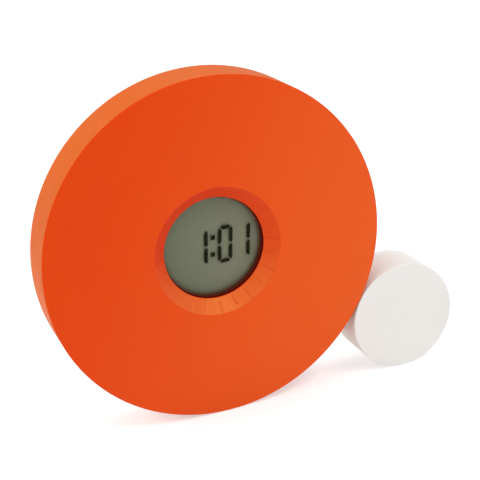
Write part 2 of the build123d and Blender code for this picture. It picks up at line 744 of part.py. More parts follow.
def drive_gear():
    """Large fine wheel, and the coarse pinion that turns the ring gear."""
    bore = GEAR_PIN_R + RUNNING
    depths = (PINION_NEAR, DRIVE_WHEEL_NEAR)
    pinion = gear(DRIVE_PINION_TEETH, RING_MODULE, DRIVE_BEARING, *depths, DRIVE_GEAR, bore)
    depths = (DRIVE_WHEEL_NEAR, DRIVE_WHEEL_FAR)
    return pinion + gear(
        DRIVE_WHEEL_TEETH, FINE_MODULE, REDUCTION_BEARING, *depths, DRIVE_GEAR, bore
    )


def reduction_gear():
    bore = GEAR_PIN_R + RUNNING
    toward = REDUCTION_BEARING + 180 + 180 / REDUCTION_PINION_TEETH
    depths = (DRIVE_WHEEL_NEAR, REDUCTION_WHEEL_NEAR)
    pinion = gear(REDUCTION_PINION_TEETH, FINE_MODULE, toward, *depths, REDUCTION_GEAR, bore)
    depths = (REDUCTION_WHEEL_NEAR, REDUCTION_WHEEL_FAR)
    return pinion + gear(
        REDUCTION_WHEEL_TEETH, FINE_MODULE, MOTOR_BEARING, *depths, REDUCTION_GEAR, bore
    )


def motor_pinion():
    toward = MOTOR_BEARING + 180 + 180 / MOTOR_PINION_TEETH
    depths = (REDUCTION_WHEEL_NEAR - GEAR_PLAY, REDUCTION_WHEEL_FAR)
    bore = MOTOR_SHAFT_R + PRESSED
    return gear(MOTOR_PINION_TEETH, FINE_MODULE, toward, *depths, MOTOR, bore)


def motor_shaft():
    return disc(MOTOR_SHAFT_R, REDUCTION_WHEEL_NEAR - GEAR_PLAY, MOTOR_FAR, *MOTOR)


def motor_can():
    can = disc(MOTOR_R, PLATE_FAR, MOTOR_FAR, *MOTOR)
    can += disc(MOTOR_BOSS_R, PLATE_FAR - MOTOR_BOSS, PLATE_FAR, *MOTOR)
    can -= disc(MOTOR_SHAFT_R + RUNNING, PLATE_NEAR, MOTOR_FAR, *MOTOR)
    for x, z in MOTOR_SCREWS:
        can -= disc(MOTOR_SCREW_R + PRESSED, PLATE_FAR, PLATE_FAR + MOTOR_SCREW_REACH, x, z)
    return can


def motor_terminals():
    """Where the two terminals stand out of the cap's lower edge: x and lowest z."""
    low_z = MOTOR[1] - MOTOR_CAP_R - TERMINAL_LENGTH / 2
    return [(MOTOR[0] + side * TERMINAL_X, low_z) for side in (-1, 1)]


def motor_end_cap():
    """Brush cover at the back of the motor, with its two terminals."""
    cap = disc(MOTOR_CAP_R, MOTOR_FAR, MOTOR_FAR + MOTOR_CAP, *MOTOR)
    half = TERMINAL_WIDTH / 2
    far = TERMINAL_NEAR + TERMINAL_SHEET
    for x, low_z in motor_terminals():
        cap += block(x - half, x + half, TERMINAL_NEAR, far, low_z, low_z + TERMINAL_LENGTH)
    return cap


def motor_screws():
    """Flat screws put in from the front, sunk in the plate."""
    tip = PLATE_FAR + MOTOR_SCREW_REACH
    return together(
        disc(MOTOR_SCREW_HEAD_R, PLATE_NEAR, PLATE_NEAR + MOTOR_SCREW_HEAD, x, z)
        + disc(MOTOR_SCREW_R, PLATE_NEAR + MOTOR_SCREW_HEAD, tip, x, z)
        for x, z in MOTOR_SCREWS
    )


# ---- Batteries ----
def tray_block(reach, near, far):
    half_x = TRAY_HALF_X + TRAY_WALL + reach
    half_z = TRAY_HALF_Z + TRAY_WALL + reach
    return block(-half_x, half_x, near, far, CELLS_Z - half_z, CELLS_Z + half_z)


def tray_ears():
    x = TRAY_HALF_X + TRAY_WALL + TRAY_EAR / 2
    return [(-x, CELLS_Z + TRAY_HALF_Z / 2), (x, CELLS_Z + TRAY_HALF_Z / 2)]


def battery_tray():
    """Open box for the cells, let into the plate and screwed to it by two ears."""
    floor_far = CELL_Y - CELL_R - PRESSED
    low_z, high_z = CELLS_Z - TRAY_HALF_Z, CELLS_Z + TRAY_HALF_Z
    tray = tray_block(0, floor_far - TRAY_WALL, COVER_INNER - CLEAR)
    tray -= block(-TRAY_HALF_X, TRAY_HALF_X, floor_far, COVER_INNER, low_z, high_z)
    half = TRAY_EAR / 2
    ear_far = PLATE_FAR + TRAY_WALL
    for x, z in tray_ears():
        tray += block(x - half, x + half, PLATE_FAR, ear_far, z - half, z + half)
        tray -= disc(BOARD_SCREW_R + PRESSED, PLATE_FAR, ear_far, x, z)
    return tray


def tray_screws():
    seat = PLATE_FAR + TRAY_WALL
    sizes = (seat, BOARD_SCREW_HEAD_R, BOARD_SCREW_HEAD, BOARD_SCREW_R, PLATE_NEAR)
    return together(pan_screw(x, z, *sizes) for x, z in tray_ears())


def battery_cells():
    """Two AAA cells that lie head to tail."""
    body_length = CELL_LENGTH - CELL_NUB
    cells = []
    for z, side in zip(CELL_ROWS, (-1, 1)):
        body = Pos(-side * CELL_NUB / 2, 0) * Rot(0, 90, 0) * Cylinder(CELL_R, body_length)
        nub = Pos(side * body_length / 2, 0) * Rot(0, 90, 0) * Cylinder(CELL_NUB_R, CELL_NUB)
        cells.append(Pos(0, CELL_Y, z) * (body + nub))
    return together(cells)


def battery_contacts():
    """A sheet contact at each end of each cell, with a leaf bent out to touch it."""
    reach = TRAY_HALF_X - CELL_LENGTH / 2 - PRESSED
    half = CONTACT_WIDTH / 2
    foot = half - CONTACT_FOOT
    near, far = CELL_Y - CONTACT_HEIGHT / 2, CELL_Y + CONTACT_HEIGHT / 2
    leaf = Polygon(
        (0, -half),
        (CONTACT_SHEET, -half),
        (reach, 0),
        (CONTACT_SHEET, half),
        (0, half),
        (0, foot),
        (reach - 2 * CONTACT_SHEET, 0),
        (0, -foot),
        align=None,
    )
    left_ends = [Pos(-TRAY_HALF_X, z) * leaf for z in CELL_ROWS]
    right_ends = [Pos(TRAY_HALF_X, z) * Rot(0, 0, 180) * leaf for z in CELL_ROWS]
    return together(plate(outline, near, far) for outline in left_ends + right_ends)


# ---- Sounder ----
def speaker_frame():
    near, far = COVER_INNER - SPEAKER_DEPTH, COVER_INNER
    bore = SPEAKER_R - SPEAKER_WALL
    frame = disc(SPEAKER_R, near, far, SPEAKER_X, SPEAKER_Z)
    return frame - disc(bore, near + SPEAKER_FLOOR, far, SPEAKER_X, SPEAKER_Z)


def speaker_cone():
    """Shallow paper cone with a dust cap, joined to the frame at its rim."""
    rim_r = SPEAKER_R - SPEAKER_WALL
    rim = COVER_INNER - CLEAR
    bottom = COVER_INNER - SPEAKER_DEPTH + SPEAKER_FLOOR
    cone = turned(
        (0, bottom),
        (CONE_FLAT_R, bottom),
        (rim_r, rim - CONE_PAPER),
        (rim_r, rim),
        (rim_r - 2 * CONE_PAPER, rim),
        (CONE_FLAT_R, bottom + CONE_PAPER),
        (DUST_CAP_R, bottom + CONE_PAPER),
        (DUST_CAP_R / 2, bottom + DUST_CAP_HEIGHT),
        (0, bottom + DUST_CAP_HEIGHT),
    )
    return Pos(SPEAKER_X, 0, SPEAKER_Z) * cone


def speaker_magnet():
    far = COVER_INNER - SPEAKER_DEPTH
    return disc(MAGNET_R, far - MAGNET_DEPTH, far, SPEAKER_X, SPEAKER_Z)


# ---- Rear cover ----
def arm_strip(start, end, width, near, far):
    """A strip along the arm's line with a round start."""
    strip = Pos((start + end) / 2, 0) * Rectangle(end - start, width)
    strip += Pos(start, 0) * Circle(width / 2)
    return plate(Rot(0, 0, ARM_BEARING) * strip, near, far)


def grille_holes():
    places = []
    for row in range(-GRILLE_RINGS, GRILLE_RINGS + 1):
        count = 2 * GRILLE_RINGS + 1 - abs(row)
        for column in range(count):
            x = (column - (count - 1) / 2) * GRILLE_STEP
            places.append((SPEAKER_X + x, SPEAKER_Z + row * GRILLE_STEP * sqrt(3) / 2))
    return [disc(GRILLE_HOLE_R, COVER_INNER, COVER_BACK, x, z) for x, z in places]


def rear_cover():
    """Drum cover: back wall, skirt, posts, the arm's channel and the openings for the controls."""
    drum = disc(DRUM_R, PLATE_FAR, COVER_BACK)
    drum = fillet(drum.edges().group_by(Axis.Y)[-1], COVER_ROUND)
    drum -= disc(DRUM_R - COVER_WALL, PLATE_FAR, COVER_INNER)
    for x, z in POSTS:
        drum += disc(POST_R, POST_SPLIT, COVER_INNER, x, z)
        drum -= disc(COVER_SCREW_R + PRESSED, POST_SPLIT, COVER_SCREW_SEAT, x, z)
        drum -= disc(COVER_SCREW_HEAD_R + BUTTON_FIT, COVER_SCREW_SEAT, COVER_BACK, x, z)
    collar_r = SPEAKER_R + SPEAKER_COLLAR
    collar_near = COVER_INNER - SPEAKER_DEPTH
    drum += tube(collar_r, SPEAKER_R + PRESSED, collar_near, COVER_INNER, SPEAKER_X, SPEAKER_Z)
    drum = with_channel(drum - grille_holes())
    return drum - control_openings() - door_opening()


def control_openings():
    """Round holes for the buttons and a slot for the alarm's knob."""
    holes = [disc(STOP_BUTTON_R + BUTTON_FIT, COVER_INNER, COVER_BACK)]
    for x, z in BUTTON_ROW:
        holes.append(disc(SMALL_BUTTON_R + BUTTON_FIT, COVER_INNER, COVER_BACK, x, z))
    half = SLIDER_SIDE / 2 + BUTTON_FIT
    low_x, high_x = SLIDER_X - half, SLIDER_X + SLIDER_TRAVEL + half
    slot = block(low_x, high_x, COVER_INNER, COVER_BACK, SLIDER_Z - half, SLIDER_Z + half)
    return holes + [slot]


def with_channel(drum):
    """Lets the arm into the cover's back, on a floor of its own with three screw bosses."""
    inner_width = ARM_WIDTH + 2 * ARM_FIT
    wall_width = inner_width + 2 * COVER_WALL
    trough = arm_strip(ARM_START, DRUM_R, wall_width, CHANNEL_NEAR, COVER_INNER)
    drum += trough & disc(DRUM_R - COVER_WALL / 2, CHANNEL_NEAR, COVER_INNER)
    for x, z in ARM_SCREWS:
        drum += disc(ARM_BOSS_R, ARM_BOSS_NEAR, CHANNEL_NEAR, x, z)
    drum -= arm_strip(ARM_START, WHEEL_R, inner_width, ARM_NEAR, COVER_BACK)
    for x, z in ARM_SCREWS:
        drum -= disc(ARM_SCREW_R + PRESSED, ARM_BOSS_NEAR, ARM_NEAR, x, z)
    return drum


def hinge_rod(radius, half_length):
    return Pos(0, HINGE_Y, HINGE_Z) * Rot(0, 90, 0) * Cylinder(radius, 2 * half_length)


def door_opening():
    """The door's opening, with bearings for its two hinge pins."""
    half_x = DOOR_HALF_X + DOOR_FIT
    low_z = HINGE_Z - HINGE_ROUND - DOOR_FIT
    hole = block(-half_x, half_x, COVER_INNER, COVER_BACK, low_z, DOOR_TOP_Z + DOOR_FIT)
    return [hole, hinge_rod(HINGE_PIN_R + RUNNING, half_x + HINGE_PIN_REACH)]


def battery_door():
    """Flat door that turns on two pins at its lower edge, with a thumb dent at the top."""
    door = block(-DOOR_HALF_X, DOOR_HALF_X, COVER_INNER, COVER_BACK, HINGE_Z, DOOR_TOP_Z)
    door += hinge_rod(HINGE_ROUND, DOOR_HALF_X)
    door += hinge_rod(HINGE_PIN_R, DOOR_HALF_X + HINGE_PIN_REACH)
    return door - disc(THUMB_R, COVER_BACK - THUMB_CUT, COVER_BACK, 0, DOOR_TOP_Z)


def cover_screws():
    sizes = (COVER_SCREW_SEAT, COVER_SCREW_HEAD_R, COVER_SCREW_HEAD, COVER_SCREW_R, PLATE_FAR)
    return together(pan_screw(x, z, *sizes) for x, z in POSTS)


# ---- Arm and roller ----
def tail_arm():
    """Flat arm let into the cover, with a shallow panel in its back and the axle at its end."""
    arm = arm_strip(ARM_START, AXLE_SPAN, ARM_WIDTH, ARM_NEAR, ARM_FAR)
    arm += disc(ARM_WIDTH / 2, ARM_NEAR, ARM_FAR, AXLE_X, AXLE_Z)
    arm = fillet(arm.edges().group_by(Axis.Y)[-1], EDGE_ROUND)
    for x, z in ARM_SCREWS:
        arm -= disc(ARM_SCREW_R + PRESSED, ARM_NEAR, ARM_FAR, x, z)
        arm -= disc(ARM_SCREW_HEAD_R + ARM_FIT, ARM_FAR - ARM_SCREW_HEAD, ARM_FAR, x, z)
    start, end = ARM_PANEL
    panel = Pos((start + end) / 2, 0) * SlotOverall(end - start, ARM_PANEL_WIDTH)
    arm -= plate(Rot(0, 0, ARM_BEARING) * panel, ARM_FAR - ARM_PANEL_CUT, ARM_FAR)
    return arm - disc(AXLE_R + PRESSED, ARM_NEAR, ARM_FAR, AXLE_X, AXLE_Z)


def arm_screws():
    seat = ARM_FAR - ARM_SCREW_HEAD
    tip = ARM_BOSS_NEAR
    sizes = (seat, ARM_SCREW_HEAD_R, ARM_SCREW_HEAD, ARM_SCREW_R, tip)
    return together(pan_screw(x, z, *sizes) for x, z in ARM_SCREWS)


def roller_axle():
    axle = disc(AXLE_R, AXLE_NEAR, ARM_FAR, AXLE_X, AXLE_Z)
    groove_r = AXLE_R - CLIP_GROOVE
    return axle - tube(2 * AXLE_R, groove_r, CLIP_NEAR, CLIP_NEAR + CLIP_THICKNESS, AXLE_X, AXLE_Z)


def axle_clip():
    """Open clip in the axle's groove, in front of the roller's hub."""
    far = CLIP_NEAR + CLIP_THICKNESS
    outer_r, bore = AXLE_R + CLIP_REACH, AXLE_R - CLIP_GROOVE + PRESSED
    clip = tube(outer_r, bore, CLIP_NEAR, far, AXLE_X, AXLE_Z)
    half = CLIP_MOUTH / 2
    return clip - block(AXLE_X - half, AXLE_X + half, CLIP_NEAR, far, AXLE_Z - outer_r, AXLE_Z)


def axle_washer():
    near, far = HUB_FAR + GEAR_PLAY, ARM_NEAR - GEAR_PLAY
    return tube(HUB_R - BUTTON_FIT, AXLE_R + RUNNING, near, far, AXLE_X, AXLE_Z)


def roller_shell():
    """Plain cup: front face and rim."""
    cup = disc(ROLLER_R, 0, WHEEL_DEPTH)
    cup = fillet(cup.edges().filter_by(GeomType.CIRCLE), EDGE_ROUND)
    cup -= disc(ROLLER_R - ROLLER_WALL, ROLLER_WALL, WHEEL_DEPTH)
    return Pos(AXLE_X, 0, AXLE_Z) * cup


def roller_hub():
    """Bored hub with a ribbed web that closes the back of the cup."""
    outer_r = ROLLER_R - ROLLER_WALL - PRESSED
    inner_r = outer_r - ROLLER_WALL
    web_far = HUB_FAR - CLEAR
    rib_near = web_far - 3 * HUB_WEB
    hub = disc(HUB_R, HUB_NEAR, HUB_FAR) + disc(outer_r, web_far - HUB_WEB, web_far)
    hub += tube(outer_r, inner_r, rib_near, web_far)
    half = HUB_RIB / 2
    rib = block(HUB_R - half, inner_r + half, rib_near, web_far, -half, half)
    for number in range(HUB_RIB_COUNT):
        hub += Rot(0, number * 360 / HUB_RIB_COUNT, 0) * rib
    hub -= disc(AXLE_R + RUNNING, HUB_NEAR, HUB_FAR)
    return Pos(AXLE_X, 0, AXLE_Z) * hub


# ---- Controls ----
def push_button(x, z, radius, proud, travel):
    """Round cap with a retaining flange inside the cover and a stem down to its switch."""
    flange_far = COVER_INNER - CLEAR
    flange_near = flange_far - BUTTON_FLANGE
    cap = disc(radius, flange_near, COVER_BACK + proud, x, z)
    cap = fillet(cap.edges().group_by(Axis.Y)[-1], EDGE_ROUND)
    cap += disc(radius + BUTTON_FLANGE_WIDTH, flange_near, flange_far, x, z)
    return cap + disc(STEM_R, SWITCH_FAR + travel + RUNNING, flange_near, x, z)


def small_button(number):
    x, z = BUTTON_ROW[number]
    return push_button(x, z, SMALL_BUTTON_R, SMALL_BUTTON_PROUD, SMALL_BUTTON_TRAVEL)


def stop_button():
    return push_button(0.0, 0.0, STOP_BUTTON_R, STOP_BUTTON_PROUD, STOP_BUTTON_TRAVEL)


def alarm_slider():
    """Knob in the cover's slot, with a flange inside that keeps the slot covered."""
    half = SLIDER_SIDE / 2
    wide = half + SLIDER_TRAVEL
    near, far = SWITCH_FAR + CLEAR, COVER_BACK + SMALL_BUTTON_PROUD
    knob = block(SLIDER_X - half, SLIDER_X + half, near, far, SLIDER_Z - half, SLIDER_Z + half)
    far = COVER_INNER - CLEAR
    near = far - BUTTON_FLANGE
    low_z, high_z = SLIDER_Z - SLIDER_SIDE, SLIDER_Z + SLIDER_SIDE
    return knob + block(SLIDER_X - wide, SLIDER_X + wide, near, far, low_z, high_z)


# ---- Wiring ----
def lead(*route):
    """A round lead along straight runs joined by arcs as large as the runs allow."""
    points = [Vector(*point) for point in route]
    radii = []
    for before, corner, after in zip(points, points[1:], points[2:]):
        run = min((corner - before).length, (after - corner).length)
        half_turn = radians((corner - before).get_angle(after - corner)) / 2
        radii.append(LEAD_BEND_SHARE * run / tan(half_turn))
    path = FilletPolyline(*points, radius=radii)
    return sweep(Plane(path @ 0, z_dir=path % 0) * Circle(LEAD_R), path)


def battery_leads():
    """One lead up each end of the tray, round its corner and in over the board's edge."""
    wall_x = TRAY_HALF_X + TRAY_WALL + LEAD_R
    on_board = BOARD_FAR + LEAD_R
    leads = []
    for side in (-1, 1):
        leads.append(
            lead(
                (side * wall_x, on_board + 2.0, TRAY_TOP_Z - 7.0),
                (side * wall_x, on_board + 1.5, TRAY_TOP_Z + 4.0),
                (side * (wall_x - 8.0), on_board + 0.6, TRAY_TOP_Z + 5.5),
                (side * (wall_x - 16.0), on_board, TRAY_TOP_Z + 6.0),
            )
        )
    return together(leads)


def motor_leads():
    """From the motor's terminals down to the drivers on the board."""
    at_terminal = TERMINAL_NEAR - LEAD_R
    on_board = BOARD_FAR + LEAD_R
    leads = []
    for x, low_z in motor_terminals():
        leads.append(
            lead(
                (x, at_terminal, low_z + LEAD_R),
                (x, at_terminal - 0.5, low_z - 2.0),
                (x, on_board + 1.7, low_z - 4.0),
                (x, on_board, low_z - 5.0),
            )
        )
    return together(leads)


def speaker_leads():
    """From the front of the speaker's frame to the left edge of the board."""
    at_frame = COVER_INNER - SPEAKER_DEPTH - LEAD_R
    on_board = BOARD_FAR + LEAD_R
    edge_x = SPEAKER_X + SPEAKER_R
    leads = []
    for z in (SPEAKER_Z - LEAD_PITCH, SPEAKER_Z):
        leads.append(
            lead(
                (edge_x - 2.5, at_frame, z),
                (edge_x + 0.5, at_frame - 0.3, z),
                (edge_x + 4.0, on_board + 1.1, z - 0.6),
                (edge_x + 7.5, on_board, z - 1.0),
            )
        )
    return together(leads)


NODES = {
    "wheel_shell": wheel_shell,
    "ring_gear": ring_gear,
    "retaining_ring": retaining_ring,
    "chassis_plate": chassis_plate,
    "hub_bush": hub_bush,
    "display_holder": display_holder,
    "front_polariser": front_polariser,
    "front_glass": front_glass,
    "display_digits": display_digits,
    "rear_glass": rear_glass,
    "reflector": reflector,
    "zebra_strips": zebra_strips,
    "circuit_board": circuit_board,
    "board_screws": board_screws,
    "chip_blob": chip_blob,
    "crystal": crystal,
    "capacitor": capacitor,
    "transistors": transistors,
    "tact_switches": tact_switches,
    "slide_switch": slide_switch,
    "gear_pins": gear_pins,
    "drive_gear": drive_gear,
    "reduction_gear": reduction_gear,
    "motor_pinion": motor_pinion,
    "motor_shaft": motor_shaft,
    "motor_can": motor_can,
    "motor_end_cap": motor_end_cap,
    "motor_screws": motor_screws,
    "battery_tray": battery_tray,
    "tray_screws": tray_screws,
    "battery_cells": battery_cells,
    "battery_contacts": battery_contacts,
    "speaker_frame": speaker_frame,
    "speaker_cone": speaker_cone,
    "speaker_magnet": speaker_magnet,
    "rear_cover": rear_cover,
    "cover_screws": cover_screws,
    "battery_door": battery_door,
    "tail_arm": tail_arm,
    "arm_screws": arm_screws,
    "roller_axle": roller_axle,
    "axle_clip": axle_clip,
    "axle_washer": axle_washer,
    "roller_shell": roller_shell,
    "roller_hub": roller_hub,
    "stop_button": stop_button,
    "alarm_slider": alarm_slider,
    "battery_leads": battery_leads,
    "motor_leads": motor_leads,
    "speaker_leads": speaker_leads,
}


def main():
    os.makedirs("parts", exist_ok=True)
    for name, build in NODES.items():
        export_step(PLACE * build(), f"parts/{name}.step")
    for number, name in enumerate(SMALL_BUTTONS):
        export_step(PLACE * small_button(number), f"parts/{name}.step")


main()
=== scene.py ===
import json
import math

import bmesh
import bpy
from mathutils import Matrix, Vector

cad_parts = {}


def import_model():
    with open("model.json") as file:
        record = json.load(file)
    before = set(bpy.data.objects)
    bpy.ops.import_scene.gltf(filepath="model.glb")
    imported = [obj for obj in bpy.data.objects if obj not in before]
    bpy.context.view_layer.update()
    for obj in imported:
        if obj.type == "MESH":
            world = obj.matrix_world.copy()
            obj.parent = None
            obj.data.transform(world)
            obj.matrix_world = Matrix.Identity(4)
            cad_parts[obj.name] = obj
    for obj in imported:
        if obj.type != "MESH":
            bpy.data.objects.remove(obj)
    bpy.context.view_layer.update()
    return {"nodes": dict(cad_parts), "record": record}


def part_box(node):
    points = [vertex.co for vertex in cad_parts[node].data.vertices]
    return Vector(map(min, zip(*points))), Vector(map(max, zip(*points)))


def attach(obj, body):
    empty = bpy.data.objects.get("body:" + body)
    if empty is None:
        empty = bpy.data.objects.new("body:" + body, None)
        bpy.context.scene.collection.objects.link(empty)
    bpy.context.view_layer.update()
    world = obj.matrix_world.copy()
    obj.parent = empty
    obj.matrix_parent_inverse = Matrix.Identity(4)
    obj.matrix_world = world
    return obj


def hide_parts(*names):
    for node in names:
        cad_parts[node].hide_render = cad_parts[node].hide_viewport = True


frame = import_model()

MM = 0.001


# ---- Places, in metres, and sizes, in millimetres, taken from the CAD frame ----
def front_centre(node):
    """Where the axis of a turned node meets its front face."""
    low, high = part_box(node)
    return Vector(((low[0] + high[0]) / 2, low[1], (low[2] + high[2]) / 2))


def outer_radius(node):
    low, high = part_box(node)
    return (high[2] - low[2]) / 2 / MM


def depths(node):
    """How far a node's front and back lie behind the wheel's face."""
    low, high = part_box(node)
    return (low[1] - HUB.y) / MM, (high[1] - HUB.y) / MM


HUB = front_centre("wheel_shell")
ROLLER = front_centre("roller_shell")
WHEEL_R = outer_radius("wheel_shell")
ROLLER_R = outer_radius("roller_shell")
WHEEL_DEPTH = depths("wheel_shell")[1]
# The wheel's face is a wall that ends where the ring gear's flange lies on it.
FACE_WALL = depths("ring_gear")[0]
BEZEL_NEAR = depths("display_holder")[0]
FILM_NEAR, GLASS_NEAR = depths("front_polariser")
GLASS_FAR = depths("front_glass")[1]
CELL_FAR = depths("rear_glass")[1]
CELL_NODES = ("front_polariser", "front_glass", "rear_glass")

# ---- Colours, as linear red, green and blue ----
ORANGE = (0.745, 0.036, 0.0015)
# The dish's redder orange is painted shade.
ORANGE_DISH_PAINTED_SHADE = (0.74, 0.024, 0.001)
# The tread's paler amber orange is painted light, as if the rim were lit more from above.
ORANGE_TREAD_PAINTED_LIGHT = (0.65, 0.118, 0.013)
WARM_GLOSS = (1.0, 0.85, 0.2)
PURE_WHITE = (1.0, 1.0, 1.0)
WHITE = (0.86, 0.84, 0.81)
GREY = (0.19, 0.20, 0.205)
BLACK = (0.016, 0.016, 0.018)
ACETAL = (0.76, 0.73, 0.62)
STEEL = (0.60, 0.60, 0.61)
BRASS = (0.74, 0.53, 0.22)
RUBBER = (0.05, 0.05, 0.052)
BOARD_GREEN = (0.02, 0.11, 0.045)
EPOXY = (0.008, 0.008, 0.009)
WRAP_BLUE = (0.035, 0.055, 0.10)
PAPER = (0.03, 0.027, 0.025)
LEAD_RED = (0.30, 0.015, 0.012)
# The reflector is painted darker to the left and lighter to the right: painted light.
LCD_PAINTED_SHADE_LEFT = (0.149, 0.185, 0.112)
LCD_PAINTED_LIGHT_RIGHT = (0.222, 0.234, 0.152)
LCD_INK = (0.014, 0.016, 0.006)
LCD_TINT = (0.05, 0.055, 0.045)
# A reddish painted shadow on the reflector near its rim, under the window's lip.
LCD_PAINTED_SHADOW = (0.14, 0.05, 0.025)
# The surround's very dark red is painted shade, and its lighter tone by the glass is painted bounce
# light.
BEZEL_PAINTED_SHADE = (0.12, 0.002, 0.0005)
BEZEL_PAINTED_BOUNCE = (0.15, 0.03, 0.012)
TABLE_GREY = (0.75, 0.75, 0.75)

# Painted light: the lower right of the face is painted paler as if lit more, and the lower half of
# the dish is painted paler as a painted sheen. For each: the paler tone, the way in which it grows,
# and how far along that way from the axis it starts and is full, in millimetres.
FACE_PAINTED_LIGHT = ((0.81, 0.082, 0.012), Vector((0.9, 0.0, -0.43)), -62, 62)
DISH_PAINTED_SHEEN = ((0.79, 0.092, 0.018), Vector((-0.08, 0.0, -1.0)), -3, 19)

# On the display's reflector, in millimetres from the axis: where the reddish painted shadow under
# the window's lip starts and is full, and how far the painted light, darker to the left and lighter
# to the right, reaches to each side.
LCD_PAINTED_SHADOW_R = (17.4, 20.2)
LCD_PAINTED_LIGHT_REACH = 20.0

# ---- Shader nodes ----
# Noise keeps near the middle of its range, so this span of it is stretched to the full one.
NOISE_SPAN = (0.3, 0.7)
# The cosine between the true and the bevelled normal where an edge starts, and where it is full.
EDGE_LEAN = (0.99, 0.75)
# A Mix node's colour sockets share their names with its other sockets, so they go by place.
MIX_FIRST, MIX_SECOND, MIX_RESULT = 6, 7, 2

MATERIALS = {}


def new_shader(name):
    """Makes a material with only an output, keeps it under its name and returns its node tree."""
    material = bpy.data.materials.new(name)
    material.use_nodes = True
    tree = material.node_tree
    tree.nodes.clear()
    tree.nodes.new("ShaderNodeOutputMaterial")
    MATERIALS[name] = material
    return tree


def plug(tree, socket, value):
    """Feeds a socket from another socket, or sets it to a value."""
    if isinstance(value, bpy.types.NodeSocket):
        tree.links.new(value, socket)
    else:
        socket.default_value = value


def add(tree, kind, settings=(), feeds=(), **inputs):
    """A node whose inputs are given in their order, as feeds, or by name."""
    node = tree.nodes.new("ShaderNode" + kind)
    for key, value in dict(settings).items():
        setattr(node, key, value)
    for socket, value in zip(node.inputs, feeds):
        plug(tree, socket, value)
    for key, value in inputs.items():
        plug(tree, node.inputs[key.replace("_", " ")], value)
    return node


def surface(tree, socket):
    tree.links.new(socket, tree.nodes["Material Output"].inputs["Surface"])


def principled(tree, **inputs):
    surface(tree, add(tree, "BsdfPrincipled", **inputs).outputs["BSDF"])


def object_coords(tree):
    return add(tree, "TexCoord").outputs["Object"]


def coordinate(tree, letter):
    """A point's place along X, Y or Z."""
    return add(tree, "SeparateXYZ", Vector=object_coords(tree)).outputs[letter]


def noise(tree, size_mm, detail=2.0, roughness=0.5, stretch=None):
    """Noise whose lumps are about size_mm across."""
    coords = object_coords(tree)
    if stretch:
        coords = add(tree, "Mapping", Vector=coords, Scale=stretch).outputs["Vector"]
    scale = 1 / MM / size_mm
    node = add(tree, "TexNoise", Vector=coords, Scale=scale, Detail=detail, Roughness=roughness)
    return node.outputs["Fac"]


def remap(tree, value, span, to=(0.0, 1.0), curve="LINEAR"):
    """Stretches a value from one span of numbers to another, and holds it at the ends."""
    return add(
        tree,
        "MapRange",
        {"clamp": True, "interpolation_type": curve},
        Value=value,
        From_Min=span[0],
        From_Max=span[1],
        To_Min=to[0],
        To_Max=to[1],
    ).outputs["Result"]


def rgba(colour):
    return (*colour, 1.0)


def shade(colour, factor):
    return tuple(min(1.0, channel * factor) for channel in colour)


def blend_colour(tree, factor, first, second):
    """A mix of two colours, each given as red, green and blue or as a socket."""
    mix = add(tree, "Mix", {"data_type": "RGBA"}, (factor,))
    for index, colour in ((MIX_FIRST, first), (MIX_SECOND, second)):
        plug(tree, mix.inputs[index], rgba(colour) if isinstance(colour, tuple) else colour)
    return mix.outputs[MIX_RESULT]


def raised(tree, height, depth_mm, strength, **inputs):
    """The normal of a skin on which the given pattern stands depth_mm proud."""
    depth = depth_mm * MM
    bump = add(tree, "Bump", Strength=strength, Distance=depth, Height=height, **inputs)
    return bump.outputs["Normal"]


def edge_mask(tree, width_mm):
    """1 on edges and 0 on open faces, from how far a bevelled normal leans off the true one."""
    soft = add(tree, "Bevel", {"samples": 4}, Radius=width_mm * MM).outputs["Normal"]
    true = add(tree, "NewGeometry").outputs["Normal"]
    dot = add(tree, "VectorMath", {"operation": "DOT_PRODUCT"}, (soft, true))
    return remap(tree, dot.outputs["Value"], EDGE_LEAN), soft


def from_hub(tree):
    """How far a point lies from the wheel's axis, in metres."""
    away = add(tree, "VectorMath", {"operation": "SUBTRACT"}, (object_coords(tree), HUB))
    across = (away.outputs["Vector"], (1, 0, 1))
    flat = add(tree, "VectorMath", {"operation": "MULTIPLY"}, across)
    reach = add(tree, "VectorMath", {"operation": "LENGTH"}, (flat.outputs["Vector"],))
    return reach.outputs["Value"]


def painted_light_side(tree, way, first_mm, last_mm):
    """Painted light's mask: from 0 to 1 across the wheel between two distances from its axis, along
    a way.
    """
    along = add(tree, "VectorMath", {"operation": "DOT_PRODUCT"}, (object_coords(tree), way))
    middle = HUB.dot(way)
    span = (middle + first_mm * MM, middle + last_mm * MM)
    return remap(tree, along.outputs["Value"], span, curve="SMOOTHSTEP")


